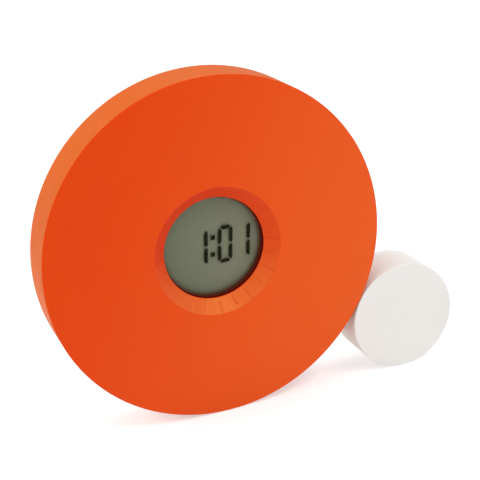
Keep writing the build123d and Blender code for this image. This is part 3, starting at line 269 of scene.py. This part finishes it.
# ---- Finishes ----
def moulded(
    name,
    colour,
    roughness=0.42,
    grain_mm=0.35,
    grain_depth=0.006,
    edge_mm=0.25,
    edge_light=1.12,
    mottle=0.05,
    specular=0.3,
    gloss_tint=PURE_WHITE,
    painted_light=None,
):
    """Moulded plastic: spark-eroded grain, faint flow marks, slightly polished edges.

    Where asked, one side is painted a paler tone: painted light.
    """
    tree = new_shader(name)
    edges, soft_normal = edge_mask(tree, edge_mm)
    flow = noise(tree, size_mm=22.0, detail=3.0, roughness=0.55)
    darker, lighter = shade(colour, 1 - mottle), shade(colour, 1 + mottle)
    tone = blend_colour(tree, remap(tree, flow, NOISE_SPAN), darker, lighter)
    # Painted light: where asked, a paler tone grows over one side.
    if painted_light:
        paler, *across = painted_light
        tone = blend_colour(tree, painted_light_side(tree, *across), tone, paler)
    tone = blend_colour(tree, edges, tone, shade(colour, edge_light))
    rub = noise(tree, size_mm=6.0, detail=4.0, roughness=0.6)
    grain = noise(tree, size_mm=grain_mm, detail=3.0, roughness=0.6)
    principled(
        tree,
        Base_Color=tone,
        Roughness=remap(tree, rub, NOISE_SPAN, (roughness - 0.05, roughness + 0.06)),
        Normal=raised(tree, grain, depth_mm=grain_depth, strength=0.6, Normal=soft_normal),
        Specular_IOR_Level=specular,
        Specular_Tint=rgba(gloss_tint),
    )


def metal(name, colour, roughness):
    """Plated metal with fine drawn lines and a little tarnish."""
    tree = new_shader(name)
    lines = noise(tree, size_mm=0.8, detail=3.0, roughness=0.6, stretch=(1.0, 12.0, 1.0))
    tarnish = noise(tree, size_mm=5.0, detail=3.0, roughness=0.6)
    dulled = remap(tree, tarnish, (0.35, 0.7))
    principled(
        tree,
        Base_Color=blend_colour(tree, dulled, colour, shade(colour, 0.8)),
        Roughness=remap(tree, lines, NOISE_SPAN, (roughness - 0.06, roughness + 0.08)),
        Normal=raised(tree, lines, depth_mm=0.004, strength=0.3),
        Metallic=1.0,
    )


def lcd_back(name):
    """The display's reflector: grey-green and silky, painted lighter and warmer to the right, with
    a reddish painted shadow near its rim.
    """
    tree = new_shader(name)
    # Painted light: the reflector grows lighter and warmer from left to right.
    reach = LCD_PAINTED_LIGHT_REACH * MM
    across = remap(tree, coordinate(tree, "X"), (HUB.x - reach, HUB.x + reach))
    tone = blend_colour(tree, across, LCD_PAINTED_SHADE_LEFT, LCD_PAINTED_LIGHT_RIGHT)
    silk = noise(tree, size_mm=0.25)
    glint = remap(tree, silk, (0.35, 0.65), (0.0, 0.12))
    tone = blend_colour(tree, glint, tone, shade(LCD_PAINTED_LIGHT_RIGHT, 1.3))
    # A reddish painted shadow near the reflector's rim, under the window's lip.
    painted_shadow_span = tuple(radius * MM for radius in LCD_PAINTED_SHADOW_R)
    painted_shadow = remap(tree, from_hub(tree), painted_shadow_span, curve="SMOOTHSTEP")
    principled(
        tree,
        Base_Color=blend_colour(tree, painted_shadow, tone, LCD_PAINTED_SHADOW),
        Roughness=0.5,
        Normal=raised(tree, silk, depth_mm=0.01, strength=0.25),
        Specular_IOR_Level=0.25,
    )


def bezel(name):
    """The display's surround: very dark red for painted shade, lighter towards the glass for
    painted bounce light.
    """
    tree = new_shader(name)
    span = (HUB.y + BEZEL_NEAR * MM, HUB.y + FILM_NEAR * MM)
    inwards = remap(tree, coordinate(tree, "Y"), span)
    # Painted shade, growing lighter towards the glass as painted bounce light.
    tone = blend_colour(tree, inwards, BEZEL_PAINTED_SHADE, BEZEL_PAINTED_BOUNCE)
    grain = noise(tree, size_mm=0.35, detail=3.0, roughness=0.6)
    speckle = remap(tree, grain, NOISE_SPAN, (0.0, 0.25))
    principled(
        tree,
        Base_Color=blend_colour(tree, speckle, tone, BEZEL_PAINTED_SHADE),
        Roughness=0.6,
        Normal=raised(tree, grain, depth_mm=0.006, strength=0.5),
        Specular_IOR_Level=0.05,
    )


def clear_sheet(name, alpha, roughness):
    """Glass or film that lets the light through and keeps a faint haze of its own."""
    tree = new_shader(name)
    haze = noise(tree, size_mm=0.3)
    cloud = remap(tree, noise(tree, size_mm=9.0), NOISE_SPAN)
    principled(
        tree,
        Base_Color=blend_colour(tree, cloud, LCD_TINT, shade(LCD_TINT, 1.06)),
        Roughness=remap(tree, haze, NOISE_SPAN, (roughness - 0.03, roughness + 0.05)),
        Alpha=alpha,
        Specular_IOR_Level=0.06,
    )


def make_finishes():
    """One finish for each material slot of the record, and two more for parts of the wheel."""
    orange = {"mottle": 0.015, "gloss_tint": WARM_GLOSS}
    # The face's lower right is painted paler: painted light.
    moulded("orange_plastic", ORANGE, 0.38, specular=0.4, painted_light=FACE_PAINTED_LIGHT, **orange)
    # The dish: its redder orange is painted shade, its lower half is painted paler as a painted
    # sheen, and its edges are lighter for polish and for painted highlights along the ticks.
    moulded(
        "orange_dish_painted_shade_and_sheen", ORANGE_DISH_PAINTED_SHADE, 0.46, edge_light=1.3, specular=0.8, painted_light=DISH_PAINTED_SHEEN, **orange
    )
    # The tread: a duller finish, and a paler amber tone that is painted light.
    moulded(
        "orange_tread_painted_light",
        ORANGE_TREAD_PAINTED_LIGHT,
        0.5,
        grain_mm=0.6,
        grain_depth=0.012,
        edge_light=1.0,
        mottle=0.03,
        specular=0.05,
        gloss_tint=WARM_GLOSS,
    )
    moulded("white_plastic", WHITE, edge_light=1.05, mottle=0.02)
    moulded("grey_plastic", GREY, 0.48)
    moulded("black_plastic", BLACK, 0.5, edge_light=1.6)
    moulded("gear_plastic", ACETAL, 0.35, mottle=0.03)
    moulded("red_button", ORANGE, specular=0.2)
    moulded("zebra_rubber", RUBBER, 0.7)
    moulded("circuit_board", BOARD_GREEN, 0.35, grain_mm=1.4, grain_depth=0.02, mottle=0.15)
    moulded("epoxy", EPOXY, 0.16, grain_mm=2.5, grain_depth=0.03)
    moulded("cell_wrap", WRAP_BLUE, 0.22, grain_mm=1.5, grain_depth=0.01, mottle=0.12)
    moulded("paper_cone", PAPER, 0.85, grain_mm=0.4, grain_depth=0.05, mottle=0.25)
    moulded("lead_sleeve", LEAD_RED, 0.4, grain_mm=0.6, grain_depth=0.01, mottle=0.1)
    moulded(
        "lcd_ink",
        LCD_INK,
        0.5,
        grain_mm=0.2,
        grain_depth=0.001,
        edge_mm=0.05,
        edge_light=1.0,
        mottle=0.1,
        specular=0.02,
    )
    clear_sheet("lcd_film", alpha=0.10, roughness=0.35)
    clear_sheet("lcd_glass", alpha=0.03, roughness=0.3)
    lcd_back("lcd_reflector")
    bezel("bezel_plastic")
    metal("steel", STEEL, 0.28)
    metal("brass", BRASS, 0.3)


def dress_nodes():
    """Gives every CAD node the finish of its own material slot."""
    for part in frame["record"]["subparts"]:
        node = frame["nodes"][part["node"]]
        for material_slot in node.material_slots:
            material_slot.material = MATERIALS[part["material_slot"]]


# ---- Turned pieces ----
# Beside each rounding, a point this many times as far from the corner as the rounding's end keeps
# the flat side flat.
HOLD = 1.8
ARC_STEP = math.radians(18)
# A ring nearer to the axis than this, in metres, is a single point.
ON_AXIS = 1e-7
SHARP_ANGLE = math.radians(32)


def rounded(corners):
    """A closed profile of (radius, depth) points from corners that each give their rounding."""
    points = []
    count = len(corners)
    for index, (radius, depth, rounding) in enumerate(corners):
        corner = Vector((radius, depth))
        if not rounding:
            points.append(corner)
            continue
        before = (Vector(corners[index - 1][:2]) - corner).normalized()
        after = (Vector(corners[(index + 1) % count][:2]) - corner).normalized()
        half = math.acos(max(-1.0, min(1.0, before.dot(after)))) / 2
        reach = rounding / math.tan(half)
        middle = corner + (before + after).normalized() * rounding / math.sin(half)
        start, end = corner + before * reach, corner + after * reach
        turn = math.pi - 2 * half
        points.append(corner + before * reach * HOLD)
        steps = max(2, math.ceil(turn / ARC_STEP))
        arm, other = start - middle, end - middle
        for step in range(steps + 1):
            share = step / steps
            spoke = arm * math.sin((1 - share) * turn) + other * math.sin(share * turn)
            points.append(middle + spoke / math.sin(turn))
        points.append(corner + after * reach * HOLD)
    return points


def in_scene(name, data):
    """A new object in the scene for a mesh, a lamp or a camera."""
    item = bpy.data.objects.new(name, data)
    bpy.context.collection.objects.link(item)
    return item


def lathe(name, corners, centre, segments):
    """A solid turned about the line along Y through centre, from corners in millimetres."""
    profile = rounded([tuple(number * MM for number in corner) for corner in corners])
    mesh = bpy.data.meshes.new(name)
    maker = bmesh.new()
    rings = []
    for radius, depth in profile:
        if radius < ON_AXIS:
            rings.append([maker.verts.new((centre.x, centre.y + depth, centre.z))])
            continue
        ring = []
        for number in range(segments):
            turn = 2 * math.pi * number / segments
            across, up = radius * math.cos(turn), radius * math.sin(turn)
            ring.append(maker.verts.new((centre.x + across, centre.y + depth, centre.z + up)))
        rings.append(ring)
    # A profile that starts and ends on the axis is closed there. Any other is a hoop.
    closing = [] if len(rings[0]) == len(rings[-1]) == 1 else rings[:1]
    for ring, following in zip(rings, rings[1:] + closing):
        for number in range(segments):
            corner_points = [
                ring[number % len(ring)],
                ring[(number + 1) % segments % len(ring)],
                following[(number + 1) % segments % len(following)],
                following[number % len(following)],
            ]
            unique = list(dict.fromkeys(corner_points))
            if len(unique) > 2:
                maker.faces.new(unique)
    bmesh.ops.recalc_face_normals(maker, faces=maker.faces)
    maker.to_mesh(mesh)
    maker.free()
    for face in mesh.polygons:
        face.use_smooth = True
    return in_scene(name, mesh)


def cut(piece, cutter):
    """Takes the cutter's volume out of the piece for good."""
    change = piece.modifiers.new("cut", "BOOLEAN")
    change.operation = "DIFFERENCE"
    change.solver = "EXACT"
    change.object = cutter
    depsgraph = bpy.context.evaluated_depsgraph_get()
    result = bpy.data.meshes.new_from_object(piece.evaluated_get(depsgraph))
    piece.modifiers.clear()
    piece.data = result
    bpy.data.objects.remove(cutter)


# ---- The wheel's own sizes, in millimetres ----
WINDOW_R = 19.55
WINDOW_LIP = 0.5
DISH_R = 24.55
DISH_DEPTH = 4.35
RIM_WALL = 2.5
SLEEVE_R = 24.6
SLEEVE_BORE_R = 22.4
SLEEVE_END = 10.5
SHOULDER_R = 26.4
SHOULDER_FAR = 6.2
# The retaining ring's groove: its floor's radius, and the depths of its two sides.
GROOVE_R = 24.0
GROOVE = (9.35, 10.15)
LIP_ROUND = 0.12
LIP_BACK_ROUND = 0.1
DISH_ROUND = 0.3
RIM_ROUND = 0.4
INNER_ROUND = 0.5
WHEEL_SEGMENTS = 288

# Pegs that hold the ring gear, each from a root in the face's wall. STAKE_HEAD gives how far behind
# that wall a peg's head starts, on the gear's flange, and ends.
STAKE_COUNT = 8
STAKE_DISTANCE = 53.3
STAKE_R = 1.0
STAKE_ROOT = 0.2
STAKE_HEAD_R = 1.6
STAKE_HEAD = (1.2, 1.9)
STAKE_ROUND = 0.4
STAKE_SEGMENTS = 24

# Tick grooves from 3 o'clock round to 9. Each notch's floor lies off its middle, so that its wide
# flank faces the way of TICK_OPENS. A tick's two ends are given as distances from the axis.
TICK_COUNT = 13
TICK_STEP = 15.0
TICK_HALF_WIDTH = 0.36
TICK_CUT = 0.42
TICK_FLOOR = 0.04
TICK_LEAN = 0.24
TICK_OPENS = Vector((-0.55, 0.0, 0.83))
LONG_TICK = (WINDOW_R + 1.3, DISH_R - 0.25)
SHORT_TICK = (WINDOW_R + 0.7, DISH_R - 1.55)


def tick_section(across):
    """A wedge's corners as (sideways, deep): two at the notch's floor and two above the cone."""
    lowest = TICK_LEAN if across.dot(TICK_OPENS) > 0 else -TICK_LEAN
    left, right = lowest - TICK_FLOOR / 2, lowest + TICK_FLOOR / 2
    above_left, above_right = -2 * TICK_HALF_WIDTH - left, 2 * TICK_HALF_WIDTH - right
    return ((left, TICK_CUT), (right, TICK_CUT), (above_right, -TICK_CUT), (above_left, -TICK_CUT))


def tick_cutter():
    """Thin wedges that lie along the dish's cone, long and short in turn."""
    slope = DISH_DEPTH / (DISH_R - WINDOW_R)
    maker = bmesh.new()
    for number in range(TICK_COUNT):
        turn = -math.radians(number * TICK_STEP)
        along = Vector((math.cos(turn), 0, math.sin(turn)))
        across = Vector((-math.sin(turn), 0, math.cos(turn)))
        ends = []
        tick = SHORT_TICK if number % 2 else LONG_TICK
        for radius in tick:
            middle = HUB + along * radius * MM
            cone = (DISH_R - radius) * slope
            end = []
            for side, deep in tick_section(across):
                inwards = Vector((0, (cone + deep) * MM, 0))
                end.append(maker.verts.new(middle + across * side * MM + inwards))
            ends.append(end)
        near, far = ends
        maker.faces.new(near)
        maker.faces.new(far)
        for index in range(4):
            following = (index + 1) % 4
            maker.faces.new((near[index], near[following], far[following], far[index]))
    bmesh.ops.recalc_face_normals(maker, faces=maker.faces)
    mesh = bpy.data.meshes.new("ticks")
    maker.to_mesh(mesh)
    maker.free()
    return in_scene("ticks", mesh)


def add_stakes(piece):
    """Pegs behind the face, melted over the ring gear's flange."""
    near, far = (FACE_WALL + depth for depth in STAKE_HEAD)
    corners = (
        (0, FACE_WALL - STAKE_ROOT, 0),
        (STAKE_R, FACE_WALL - STAKE_ROOT, 0),
        (STAKE_R, near, 0),
        (STAKE_HEAD_R, near, 0),
        (STAKE_HEAD_R, far, STAKE_ROUND),
        (0, far, 0),
    )
    maker = bmesh.new()
    maker.from_mesh(piece.data)
    for number in range(STAKE_COUNT):
        turn = (number + 0.5) * 2 * math.pi / STAKE_COUNT
        away = Vector((math.cos(turn), 0, math.sin(turn))) * STAKE_DISTANCE * MM
        stake = lathe("stake", corners, HUB + away, STAKE_SEGMENTS)
        maker.from_mesh(stake.data)
        bpy.data.objects.remove(stake)
    maker.to_mesh(piece.data)
    maker.free()


def wheel_body():
    """The orange wheel with soft moulded edges and the tick grooves in its dish."""
    lip_far = DISH_DEPTH + WINDOW_LIP
    rim_bore = WHEEL_R - RIM_WALL
    corners = (
        (WINDOW_R, DISH_DEPTH, LIP_ROUND),
        (DISH_R, 0, DISH_ROUND),
        (WHEEL_R, 0, RIM_ROUND),
        (WHEEL_R, WHEEL_DEPTH, RIM_ROUND),
        (rim_bore, WHEEL_DEPTH, RIM_ROUND),
        (rim_bore, FACE_WALL, INNER_ROUND),
        (SHOULDER_R, FACE_WALL, 0),
        (SHOULDER_R, SHOULDER_FAR, 0),
        (SLEEVE_R, SHOULDER_FAR, 0),
        (SLEEVE_R, GROOVE[0], 0),
        (GROOVE_R, GROOVE[0], 0),
        (GROOVE_R, GROOVE[1], 0),
        (SLEEVE_R, GROOVE[1], 0),
        (SLEEVE_R, SLEEVE_END, 0),
        (SLEEVE_BORE_R, SLEEVE_END, 0),
        (SLEEVE_BORE_R, lip_far, 0),
        (WINDOW_R, lip_far, LIP_BACK_ROUND),
    )
    piece = lathe("wheel_body", corners, HUB, WHEEL_SEGMENTS)
    cut(piece, tick_cutter())
    add_stakes(piece)
    piece.data.set_sharp_from_angle(angle=SHARP_ANGLE)
    return piece


# ---- The roller's and the display's own sizes, in millimetres ----
ROLLER_WALL = 1.8
ROLLER_ROUND = 0.35
ROLLER_INNER_ROUND = 0.4
ROLLER_SEGMENTS = 192
# The rear glass is cut flat this far inside its edge, below the contact strip, so the back of the
# clear block is turned down by as much.
GLASS_LEDGE = 1.9
GLASS_ROUND = 0.05
CELL_BACK_GAP = 0.03
CELL_SEGMENTS = 96


def roller_cup():
    """The plain white roller, open at its back."""
    bore = ROLLER_R - ROLLER_WALL
    corners = (
        (0, 0, 0),
        (ROLLER_R, 0, ROLLER_ROUND),
        (ROLLER_R, WHEEL_DEPTH, ROLLER_ROUND),
        (bore, WHEEL_DEPTH, ROLLER_ROUND),
        (bore, ROLLER_WALL, ROLLER_INNER_ROUND),
        (0, ROLLER_WALL, 0),
    )
    piece = lathe("roller_cup", corners, ROLLER, ROLLER_SEGMENTS)
    piece.data.set_sharp_from_angle(angle=SHARP_ANGLE)
    return piece


def display_cell():
    """Front film and both glasses, stuck together into one clear block round the digits."""
    film_r, glass_r, rear_r = ((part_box(node)[1][0] - HUB.x) / MM for node in CELL_NODES)
    ledge_r = rear_r - GLASS_LEDGE
    back = CELL_FAR - CELL_BACK_GAP
    corners = (
        (0, FILM_NEAR, 0),
        (film_r, FILM_NEAR, GLASS_ROUND),
        (film_r, GLASS_NEAR, 0),
        (glass_r, GLASS_NEAR, GLASS_ROUND),
        (glass_r, GLASS_FAR, GLASS_ROUND),
        (ledge_r, GLASS_FAR, 0),
        (ledge_r, back, GLASS_ROUND),
        (0, back, 0),
    )
    piece = lathe("display_cell", corners, HUB, CELL_SEGMENTS)
    piece.data.set_sharp_from_angle(angle=SHARP_ANGLE)
    return piece


def stand_in(piece, body, slot, *nodes):
    """Dresses a new piece and puts it on its body in place of the CAD nodes it stands for."""
    piece.data.materials.append(MATERIALS[slot])
    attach(piece, body)
    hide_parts(*nodes)


# How far inside the rim's radius the tread's faces reach, and how far from the dish's two edges
# its own finish stays, in millimetres.
TREAD_MARGIN = 0.12
DISH_MARGIN = 0.1
# The places of the wheel's second and third finishes on its mesh.
TREAD_INDEX, DISH_INDEX = 1, 2


def dress_wheel(piece):
    """Gives the wheel's rolling rim its duller finish with painted light, and the dish its glossier
    one with painted shade and a painted sheen.
    """
    for finish in ("orange_tread_painted_light", "orange_dish_painted_shade_and_sheen"):
        piece.data.materials.append(MATERIALS[finish])
    tread_r = (WHEEL_R - TREAD_MARGIN) * MM
    dish_from, dish_to = (WINDOW_R + DISH_MARGIN) * MM, (DISH_R - DISH_MARGIN) * MM
    dish_deepest = (DISH_DEPTH + TICK_CUT) * MM
    for face in piece.data.polygons:
        from_axis = face.center - HUB
        reach = math.hypot(from_axis.x, from_axis.z)
        if reach > tread_r:
            face.material_index = TREAD_INDEX
        elif dish_from < reach < dish_to and from_axis.y < dish_deepest:
            face.material_index = DISH_INDEX


# ---- Floor, light and camera ----
# How strong the world lights the object. The camera sees it at a strength of 1, which is white.
AMBIENT = 0.59
# The floor is a light table: what it gives off towards the object, and what it gives off towards
# the camera, which sees it as white.
TABLE_GLOW = 0.14
TABLE_LIFT = 0.46
TABLE_REACH = 6.0


def looked_at(tree):
    """1 for rays that come from the camera, by way of gloss or glass too, and 0 for the rest."""
    path = add(tree, "LightPath").outputs
    value = path["Is Camera Ray"]
    for kind in ("Is Glossy Ray", "Is Transmission Ray"):
        larger = add(tree, "Math", {"operation": "MAXIMUM"}, (value, path[kind]))
        value = larger.outputs["Value"]
    return value


def floor():
    """A pale light table that keeps the shadow and looks white to the camera."""
    mesh = bpy.data.meshes.new("floor")
    reach = TABLE_REACH
    corners = [(-reach, -reach, 0), (reach, -reach, 0), (reach, reach, 0), (-reach, reach, 0)]
    mesh.from_pydata(corners, [], [(0, 1, 2, 3)])
    tree = new_shader("floor")
    matt = add(tree, "BsdfDiffuse", Color=rgba(TABLE_GREY)).outputs["BSDF"]
    level = remap(tree, looked_at(tree), (0.0, 1.0), (TABLE_GLOW, TABLE_LIFT))
    glow = add(tree, "Emission", Color=rgba(PURE_WHITE), Strength=level).outputs["Emission"]
    surface(tree, add(tree, "AddShader", (), (matt, glow)).outputs["Shader"])
    mesh.materials.append(MATERIALS["floor"])
    in_scene("floor", mesh)


def world():
    """White behind the object, and a soft studio surround for everything else."""
    surround = bpy.data.worlds.new("studio")
    surround.use_nodes = True
    tree = surround.node_tree
    tree.nodes.clear()
    soft, white = (
        add(tree, "Background", Color=rgba(PURE_WHITE), Strength=level).outputs["Background"]
        for level in (AMBIENT, 1.0)
    )
    mix = add(tree, "MixShader", (), (looked_at(tree), soft, white))
    output = tree.nodes.new("ShaderNodeOutputWorld")
    tree.links.new(mix.outputs["Shader"], output.inputs["Surface"])
    bpy.context.scene.world = surround


def softbox(name, place, target, size, level):
    """A lamp, size wide and high, that lights a face at the target to about the given level."""
    lamp = bpy.data.lights.new(name, "AREA")
    lamp.shape = "RECTANGLE"
    lamp.size, lamp.size_y = size
    way = Vector(target) - Vector(place)
    lamp.energy = level * math.pi**2 * way.length_squared
    holder = in_scene(name, lamp)
    holder.location = place
    holder.rotation_mode = "QUATERNION"
    holder.rotation_quaternion = way.to_track_quat("-Z", "Y")


def lamps():
    """Soft lamps at places in metres: four lit at the wheel, and one at the roller."""
    softbox("key_softbox", (0.35, -0.7, 1.2), HUB, (0.9, 0.35), 0.27)
    softbox("table_softbox", (0.5, -0.8, 0.5), HUB, (1.3, 0.3), 0.06)
    softbox("left_softbox", (-1.3, -0.45, 0.65), HUB, (0.5, 0.5), 0.12)
    softbox("back_softbox", (-1.1, 0.35, 0.9), HUB, (0.6, 0.6), 0.34)
    softbox("top_softbox", (0.35, 0.2, 1.4), ROLLER, (0.6, 0.6), 0.15)


# The camera as fitted to the photograph's outlines: its place in units of the wheel's radius, its
# angles in degrees, and its focal length in pixels of the square picture.
CAMERA_FROM_HUB = (-2.01551, -5.62555, 2.37064)
CAMERA_AZIMUTH = -20.878
CAMERA_ELEVATION = 21.1173
CAMERA_ROLL = -4.0486
FOCAL_PIXELS = 1153.78
PICTURE_PIXELS = 480
SENSOR_MM = 36


def camera():
    """The camera at the photograph's viewing angle."""
    angles = (CAMERA_AZIMUTH, CAMERA_ELEVATION, CAMERA_ROLL)
    azimuth, elevation, roll = map(math.radians, angles)
    level = Vector((math.cos(azimuth), math.sin(azimuth), 0))
    outwards = Vector((math.sin(azimuth), -math.cos(azimuth), 0))
    back = outwards * math.cos(elevation) + Vector((0, 0, math.sin(elevation)))
    upright = back.cross(level)
    right = level * math.cos(roll) + upright * math.sin(roll)
    up = upright * math.cos(roll) - level * math.sin(roll)
    lens = bpy.data.cameras.new("camera")
    lens.sensor_width = SENSOR_MM
    lens.lens = FOCAL_PIXELS / PICTURE_PIXELS * SENSOR_MM
    lens.clip_start, lens.clip_end = 0.01, 50
    holder = in_scene("camera", lens)
    place = HUB + Vector(CAMERA_FROM_HUB) * WHEEL_R * MM
    turn = Matrix((right, up, back)).transposed().to_4x4()
    holder.matrix_world = Matrix.Translation(place) @ turn
    bpy.context.scene.camera = holder


make_finishes()
dress_nodes()
wheel = wheel_body()
stand_in(wheel, "wheel", "orange_plastic", "wheel_shell")
dress_wheel(wheel)
stand_in(roller_cup(), "roller", "white_plastic", "roller_shell")
stand_in(display_cell(), "chassis", "lcd_glass", *CELL_NODES)
floor()
world()
lamps()
camera()

bpy.context.scene.view_settings.view_transform = "Standard"
